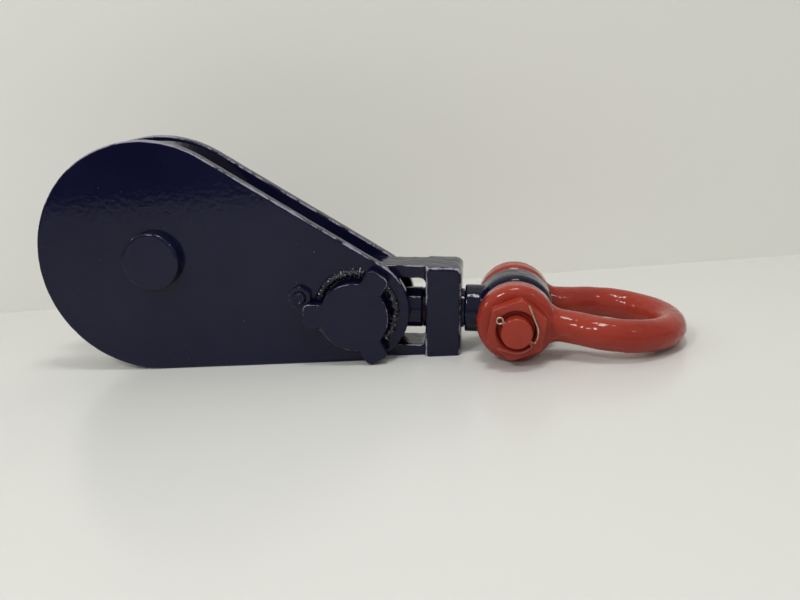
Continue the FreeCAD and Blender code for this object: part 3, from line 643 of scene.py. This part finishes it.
# %% [markdown]
# The drops of the three runs are put on the plate and remeshed into one skin, as the metal flowed. They go
# a little way into the plate, and what would lie deeper is cut off and closed, because nobody can see it.
# The wear value is raised all over and not only on the edges, and the noise of the enamel turns that into
# a near-white spatter: painted glints, the sparkle of light on the lumpy metal, with some worn paint.

# %% Weld runs round the latch
WELD_SPREAD = 1.45
WELD_LEAN = 0.5 * MM
WELD_ROOT = 1.5 * MM
WELD_SEED = 3
run_radius = float(guard_inner + guard_outer) / 2 - WELD_LEAN
run_width = float(guard_outer - guard_inner) / 2 * WELD_SPREAD
skin = bmesh.new()
for index, (bearing, span) in enumerate(guards):
    drops = run_tree(weld, bpy.data.meshes.new("start"), "weld_run", Radius=run_radius,
                     Start=bearing - span, Sweep=2 * span, Spacing=RIPPLE, Width=run_width,
                     Height=guard_height, Seed=WELD_SEED + index)
    skin.from_mesh(drops)
on_plate = Matrix.Translation((guard_centre[0], PLATE_FACE, guard_centre[1]))
skin.transform(on_plate @ Matrix.Rotation(math.pi / 2, 4, "X"))
cut = bmesh.ops.bisect_plane(skin, geom=skin.verts[:] + skin.edges[:] + skin.faces[:],
                             plane_co=(0, PLATE_FACE + WELD_ROOT, 0), plane_no=(0, 1, 0),
                             clear_outer=True)
cut_edges = [item for item in cut["geom_cut"] if isinstance(item, bmesh.types.BMEdge)]
bmesh.ops.holes_fill(skin, edges=cut_edges)
weld_mesh = bpy.data.meshes.new("weld_guards")
skin.to_mesh(weld_mesh)
skin.free()
# The wear raised all over gives the weld a near-white spatter of painted glints.
weld_guards = coat("weld_guards", weld_mesh, NAVY_WELD, voxel_mm=0.38, rounds=1, wave_mm=0.9,
                   handling_and_highlight=0.5, wear_and_highlight_everywhere=0.56)
hand_over(weld_guards, "root", "navy_enamel", "guard_arcs")

# %% [markdown]
# The side plates are flame-cut from steel sheet. To rebuild one, its outlines are needed first: the outer
# one and the holes. They are read from the CAD plate's flat face, where an outline is the row of edges
# that only one flat triangle uses, and they are divided every 1.2 mm, so that noise can shape them.

# %% Outlines of a plate
EDGE_STEP = 1.2 * MM
FLAT_WITHIN = 0.02 * MM


def flat_loops(name, depth):
    """The closed outlines of the flat face at one depth, each wound with the material on its left."""
    work = merged_copy(name)
    borders = {}
    for face in work.faces:
        if all(abs(vert.co.y - depth) < FLAT_WITHIN for vert in face.verts):
            for edge in face.edges:
                key = tuple(sorted(vert.index for vert in edge.verts))
                borders[key] = borders.get(key, 0) + 1
    joined = {}
    for (start, end), uses in borders.items():
        if uses == 1:
            joined.setdefault(start, []).append(end)
            joined.setdefault(end, []).append(start)
    work.verts.ensure_lookup_table()
    loops = []
    while joined:
        start = min(joined)
        loop = [start]
        here = joined[start][0]
        before = start
        while here != start:
            loop.append(here)
            ahead = [index for index in joined[here] if index != before]
            before = here
            here = ahead[0]
        for index in loop:
            joined.pop(index)
        loops.append([Vector((work.verts[index].co.x, work.verts[index].co.z)) for index in loop])
    work.free()
    areas = [sum(a.cross(b) for a, b in zip(loop, loop[1:] + loop[:1])) / 2 for loop in loops]
    largest = max(range(len(loops)), key=lambda index: abs(areas[index]))
    for index, loop in enumerate(loops):
        if (areas[index] > 0) != (index == largest):
            loop.reverse()
    loops.insert(0, loops.pop(largest))
    return loops


def divide(loop, step):
    """The loop with points at most one step apart."""
    out = []
    for start, end in zip(loop, loop[1:] + loop[:1]):
        count = max(1, math.ceil((end - start).length / step))
        out += [start.lerp(end, index / count) for index in range(count)]
    return out


def inward(loop):
    """A unit vector into the material at each point of a loop."""
    out = []
    for index in range(len(loop)):
        along = (loop[(index + 1) % len(loop)] - loop[index - 1]).normalized()
        out.append(Vector((-along.y, along.x)))
    return out


front_loops = flat_loops("front_side_plate", PLATE_BACK)
print("points in each outline of the front plate:", [len(loop) for loop in front_loops])

# %% [markdown]
# A torch leaves fine drag lines across the thickness and an edge that is never quite true, and the enamel
# rolls over it as a soft, chipped lip. A bevel would be too regular. So the rim is built as rings across
# the thickness, each pushed in or out a little by noise: fine drag lines, slow waves, and nicks that are
# deeper where the paint is worn. The pale band along the lip is partly chipped paint and partly a painted
# highlight of the rounded edge, and edges that face up are made paler still, as painted light from above.
# The holes are drilled, so their rims stay true, and the two faces stay flat.

# %% How rough and how worn a cut edge is
DRAG_LINE_MM = 1.3
DRAG_LINE_DEPTH = 0.10
DRAG_WAVE_MM = 9
DRAG_WAVE_DEPTH = 0.14
NICK_MM = 3.1
NICK_CHANGE = 2
NICK_START = 0.3
NICK_DEPTH = 0.7
NICK_ALWAYS = 0.4
NICK_IF_WORN = 0.6
EDGE_INSET = 0.22
WEAR_AND_HIGHLIGHT_ANYWHERE = 0.2
PAINTED_HIGHLIGHT_UPWARD = 1.1
UPWARD_POWER = 1.5
WEAR_AND_HIGHLIGHT_MEAN = 0.9
WEAR_AND_HIGHLIGHT_SWING = 0.5
WEAR_AND_HIGHLIGHT_SWING_MM = 5


def torch_bite(spot, share, ring_wear_and_highlight):
    """How many millimetres the torch has eaten into an edge, at a share of the thickness."""
    drag = noise.noise(spot / DRAG_LINE_MM) * DRAG_LINE_DEPTH
    drag += noise.noise(spot / DRAG_WAVE_MM) * DRAG_WAVE_DEPTH
    across = Vector((0, 0, share * NICK_CHANGE))
    nick = max(0.0, noise.noise(spot / NICK_MM + across) - NICK_START) * NICK_DEPTH
    return EDGE_INSET + drag + nick * (NICK_ALWAYS + ring_wear_and_highlight * NICK_IF_WORN)


def edge_wear_and_highlight(spot, normal, ring_wear_and_highlight, chipping_and_highlight):
    """How pale an edge is, from worn paint and painted highlight: paler where it faces up, as painted light
    from above, and uneven along its length.
    """
    # Edges that face up are made paler: a painted highlight of the light from above.
    upward = max(0.0, -normal.y)
    wear_and_highlight_factor = chipping_and_highlight * (WEAR_AND_HIGHLIGHT_ANYWHERE + PAINTED_HIGHLIGHT_UPWARD * upward ** UPWARD_POWER)
    return ring_wear_and_highlight * wear_and_highlight_factor * (WEAR_AND_HIGHLIGHT_MEAN + WEAR_AND_HIGHLIGHT_SWING * noise.noise(spot / WEAR_AND_HIGHLIGHT_SWING_MM))


print("the torch eats in by about", EDGE_INSET, "mm")

# %% [markdown]
# Each outline becomes a tube of faces through its rings, and the first and the last ring are closed by a
# flat cap with the holes left open. Only the rim is shaded smooth, so that the flat faces stay flat.

# %% Flame-cut side plates
# Each ring: millimetres inside the outline, share of the thickness from the front, and wear, which also
# paints the highlight of the rounded edges.
RINGS = [(2.0, 0.0, 0.0), (1.25, 0.0, 0.1), (0.8, 0.012, 1.2), (0.3, 0.045, 1.4), (0.0, 0.11, 1.0),
         (0.05, 0.3, 0.68), (0.08, 0.5, 0.58), (0.08, 0.7, 0.4), (0.02, 0.89, 0.3), (0.3, 0.955, 0.7),
         (0.8, 0.988, 0.6), (1.5, 1.0, 0.0)]
HOLE_ROUNDING = 0.3
SEED_STEP = 0.1


def cut_plate(name, node, front, back, seed, chipping_and_highlight):
    """A plate between two depths whose outline is rough from the torch and rounded by paint."""
    width = back - front
    inner_face = back if front < 0 else front
    verts, faces, wear_and_highlight = [], [], []
    caps = {0: [], len(RINGS) - 1: []}
    for order, loop in enumerate(flat_loops(node, inner_face)):
        loop = divide(loop, EDGE_STEP)
        into = inward(loop)
        outer = order == 0
        base = len(verts)
        for row, (inset, share, ring_wear_and_highlight) in enumerate(RINGS):
            ring = []
            for point, normal in zip(loop, into):
                spot = Vector((point.x, point.y, seed * SEED_STEP)) / MM
                depth = inset + torch_bite(spot, share, ring_wear_and_highlight) if outer else inset * HOLE_ROUNDING
                moved = point + normal * depth * MM
                ring.append(Vector((moved.x, 0, moved.y)))
                verts.append((moved.x, front + share * width, moved.y))
                wear_and_highlight.append(edge_wear_and_highlight(spot, normal, ring_wear_and_highlight, chipping_and_highlight) if outer else 0.0)
            if row in caps:
                caps[row].append((base + row * len(loop), ring))
        size = len(loop)
        for row in range(len(RINGS) - 1):
            for index in range(size):
                here = base + row * size + index
                following = base + row * size + (index + 1) % size
                faces.append((here, following, following + size, here + size))
    side = len(faces)
    for loops in caps.values():
        lookup = [start + index for start, ring in loops for index in range(len(ring))]
        for triangle in tessellate_polygon([ring for _, ring in loops]):
            faces.append(tuple(lookup[index] for index in triangle))
    mesh = bpy.data.meshes.new(name)
    mesh.from_pydata(verts, [], faces)
    work = bmesh.new()
    work.from_mesh(mesh)
    bmesh.ops.recalc_face_normals(work, faces=work.faces)
    work.to_mesh(mesh)
    work.free()
    mesh.attributes.new("wear_and_highlight", "FLOAT", "POINT").data.foreach_set("value", wear_and_highlight)
    piece = new_object(name, mesh, NAVY)
    mesh.polygons.foreach_set("use_smooth", [index < side for index in range(len(mesh.polygons))])
    return piece


front_plate = cut_plate("cut_front_plate", "front_side_plate", PLATE_FACE, PLATE_BACK, 1, 1.0)
hand_over(front_plate, "root", "navy_enamel", "front_side_plate")
REAR_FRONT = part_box("rear_side_plate")[0].y
REAR_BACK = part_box("rear_side_plate")[1].y
rear_plate = cut_plate("cut_rear_plate", "rear_side_plate", REAR_FRONT, REAR_BACK, 2, 0.7)
hand_over(rear_plate, "rear_plate", "navy_enamel", "rear_side_plate")

# %% [markdown]
# Sprayed enamel catches dust while it dries, and each speck becomes a small round nib under the gloss. Over
# two hundred of them are scattered over each plate by Geometry Nodes: points are spread at a set density
# with a fixed seed, only where the surface faces straight out, and a low flat bead is put on each. The
# result is one plain mesh for each plate's body.

# %% Nibs in the paint
NIB_RADIUS = 0.35 * MM
NIBS_PER_AREA = 3200.0
STRAIGHT_OUT = 0.999
LOWEST_NIB = (0.4, 0.4, 0.15)
HIGHEST_NIB = (1.2, 1.0, 0.5)
NIB_SEED = 5


def nib_tree():
    """Small beads scattered over the faces of a mesh that face along Y."""
    tree, given = geometry_tree("paint_nibs", Density=NIBS_PER_AREA, Size=NIB_RADIUS, Seed=1)
    normal = add(tree, "GeometryNodeInputNormal").outputs[0]
    facing = add(tree, "ShaderNodeSeparateXYZ", {"Vector": normal})
    outward = add(tree, "ShaderNodeMath", {0: facing.outputs["Y"]}, operation="ABSOLUTE")
    flat = add(tree, "FunctionNodeCompare", {"A": outward.outputs[0]}, {"B": STRAIGHT_OUT},
               operation="GREATER_THAN")
    spots = add(tree, "GeometryNodeDistributePointsOnFaces",
                {"Mesh": given["Geometry"], "Selection": flat.outputs[0], "Density": given["Density"],
                 "Seed": given["Seed"]})
    bead = add(tree, "GeometryNodeMeshIcoSphere", {"Radius": given["Size"]}, {"Subdivisions": 2})
    uneven = add(tree, "FunctionNodeRandomValue", {"Seed": given["Seed"]},
                 {0: LOWEST_NIB, 1: HIGHEST_NIB}, data_type="FLOAT_VECTOR")
    beads = add(tree, "GeometryNodeInstanceOnPoints",
                {"Points": spots.outputs["Points"], "Instance": bead.outputs["Mesh"],
                 "Rotation": spots.outputs["Rotation"], "Scale": uneven.outputs[0]})
    real = add(tree, "GeometryNodeRealizeInstances", {"Geometry": beads.outputs[0]})
    painted = add(tree, "GeometryNodeSetMaterial", {"Geometry": real.outputs[0]}, {"Material": NAVY})
    add(tree, "NodeGroupOutput", {"Geometry": painted.outputs[0]})
    return tree


nibs = nib_tree()
for index, (plate, body) in enumerate([(front_plate, "root"), (rear_plate, "rear_plate")]):
    mesh = run_tree(nibs, plate.data.copy(), plate.name + "_carrier", Density=NIBS_PER_AREA,
                    Size=NIB_RADIUS, Seed=NIB_SEED + index)
    hand_over(new_object(plate.name + "_nibs", mesh, NAVY), body, "navy_enamel")

# %% [markdown]
# The photo was taken from slightly above, with the camera a little off level. The camera below stands at
# the same place and has the same field of view: yaw, pitch and roll give its three axes. The focal length
# is in pixels of a picture 800 wide, and is turned into millimetres of Blender's sensor.

# %% Camera
CAMERA_PLACE = Vector((277.5, -689.5, 135.9)) * MM
YAW, PITCH, ROLL = (math.radians(angle) for angle in (-7.06, 14.97, 4.53))
FOCAL_PIXELS = 880
PICTURE_WIDTH = 800
NEAREST = 0.01
ahead = Vector((math.sin(YAW) * math.cos(PITCH), math.cos(YAW) * math.cos(PITCH), -math.sin(PITCH)))
right = Vector((math.cos(YAW), -math.sin(YAW), 0))
down = ahead.cross(right)
right, down = (right * math.cos(ROLL) + down * math.sin(ROLL),
               down * math.cos(ROLL) - right * math.sin(ROLL))
camera_data = bpy.data.cameras.new("camera")
camera_data.lens = FOCAL_PIXELS / PICTURE_WIDTH * camera_data.sensor_width
camera_data.clip_start = NEAREST
camera = bpy.data.objects.new("camera", camera_data)
scene.collection.objects.link(camera)
camera.matrix_world = Matrix((
    (right.x, -down.x, -ahead.x, CAMERA_PLACE.x),
    (right.y, -down.y, -ahead.y, CAMERA_PLACE.y),
    (right.z, -down.z, -ahead.z, CAMERA_PLACE.z),
    (0, 0, 0, 1),
))
scene.camera = camera
print("lens", round(camera_data.lens, 2), "mm")

# %% [markdown]
# The stage is a pale table with a pale wall behind it. Both are seen only from their pale side, so that
# the block can also be looked at from behind and from below: where a ray meets their back, the material
# is a transparent one.

# %% Table and wall
STAGE_CLOUD_SCALE = 1 / (400 * MM)
STAGE_SHADE = 0.97
WALL_Y = 0.207
WALL_SLOPE = 0.0995
WALL_TOP = 3
TABLE_EDGE = -1.05
TABLE_BACK = 3.0
LEFT = -4.0
RIGHT = 4.0


def stage_finish(name, code, rough, specular):
    """A plain pale finish for the table and the wall, which is open to a look from behind."""
    material, tree, shader, place = start_material(name, Specular_IOR_Level=specular, Roughness=rough)
    cloud = add(tree, "ShaderNodeTexNoise", {"Vector": place},
                {"Scale": STAGE_CLOUD_SCALE, "Detail": 2.0})
    pale = linear(code)
    darker = (*(channel * STAGE_SHADE for channel in pale[:3]), 1.0)
    shade = add(tree, "ShaderNodeMix", {0: cloud.outputs["Fac"]}, {6: pale, 7: darker},
                data_type="RGBA")
    tree.links.new(shade.outputs[2], shader.inputs["Base Color"])
    behind = add(tree, "ShaderNodeNewGeometry").outputs["Backfacing"]
    opened = add(tree, "ShaderNodeBsdfTransparent")
    either = add(tree, "ShaderNodeMixShader", {0: behind, 1: shader.outputs[0], 2: opened.outputs[0]})
    tree.links.new(either.outputs[0], tree.nodes["Material Output"].inputs["Surface"])
    return material


def stage_plane(name, corners, material):
    """One flat quad that isn't part of the object."""
    mesh = bpy.data.meshes.new(name)
    mesh.from_pydata([Vector(corner) for corner in corners], [], [tuple(range(len(corners)))])
    plane = bpy.data.objects.new(name, mesh)
    mesh.materials.append(material)
    scene.collection.objects.link(plane)


TABLE = stage_finish("pale_table", "dededa", 0.25, 0.45)
WALL = stage_finish("pale_wall", "e9e8e2", 0.8, 0.2)
left_foot = (LEFT, WALL_Y + WALL_SLOPE * LEFT)
right_foot = (RIGHT, WALL_Y + WALL_SLOPE * RIGHT)
stage_plane("table", [(LEFT, TABLE_EDGE, FLOOR), (RIGHT, TABLE_EDGE, FLOOR),
                      (RIGHT, TABLE_BACK, FLOOR), (LEFT, TABLE_BACK, FLOOR)], TABLE)
stage_plane("wall", [(*left_foot, FLOOR), (*right_foot, FLOOR),
                     (*right_foot, WALL_TOP), (*left_foot, WALL_TOP)], WALL)
print("stage:", TABLE.name, "at", round(FLOOR, 4), "and", WALL.name, "at", WALL_Y)

# %% [markdown]
# A gloss coat shows whatever surrounds it, so the room matters as much as the paint: it is light above the
# table and dark below its front edge, which is why the upper part of the plate looks deep navy and the
# lower part a little greyer. The camera itself sees a plain pale backdrop instead. Four soft lamps light
# the block: a large one overhead, one at the front, and two small ones far out that put spots of light on
# the bow and on the edges.

# %% Lamps and room
HORIZON = {"From Min": -0.02, "From Max": 0.2}
BELOW_TABLE = "1e1d1c"
ABOVE_TABLE = "bbbbb8"
SEEN_BACKDROP = "cfcec6"


def area_lamp(name, place, target, size, watts):
    """A soft lamp of a width and a height in metres that points at a place."""
    data = bpy.data.lights.new(name, "AREA")
    data.shape = "RECTANGLE"
    data.size, data.size_y = size
    data.energy = watts
    lamp = bpy.data.objects.new(name, data)
    lamp.location = place
    lamp.rotation_euler = (Vector(target) - Vector(place)).to_track_quat("-Z", "Y").to_euler()
    scene.collection.objects.link(lamp)


area_lamp("overhead", (0.35, -0.35, 1.5), (0.15, 0, 0), (0.4, 0.25), 7)
area_lamp("front_left", (-0.5, -1.3, 1.2), (0.1, 0, 0), (0.3, 0.2), 9)
area_lamp("far_left", (-1.3, -0.6, 0.9), (0.1, 0, 0), (0.12, 0.12), 1.5)
area_lamp("far_right", (1.3, -0.9, 1.1), (0.2, 0, 0), (0.12, 0.12), 1.5)
world = bpy.data.worlds.new("room")
scene.world = world
world.use_nodes = True
room = world.node_tree
heading = add(room, "ShaderNodeTexCoord").outputs["Generated"]
height = add(room, "ShaderNodeSeparateXYZ", {"Vector": heading}).outputs["Z"]
rise = add(room, "ShaderNodeMapRange", {"Value": height}, HORIZON)
shade = add(room, "ShaderNodeValToRGB", {"Fac": rise.outputs[0]},
            stops=[(0.0, BELOW_TABLE), (1.0, ABOVE_TABLE)])
seen = add(room, "ShaderNodeLightPath").outputs["Is Camera Ray"]
backdrop = add(room, "ShaderNodeMix", {0: seen, 6: shade.outputs["Color"]},
               {7: linear(SEEN_BACKDROP)}, data_type="RGBA")
room.links.new(backdrop.outputs[2], room.nodes["Background"].inputs["Color"])
scene.view_settings.view_transform = "Standard"
print("lamps and room are in place")
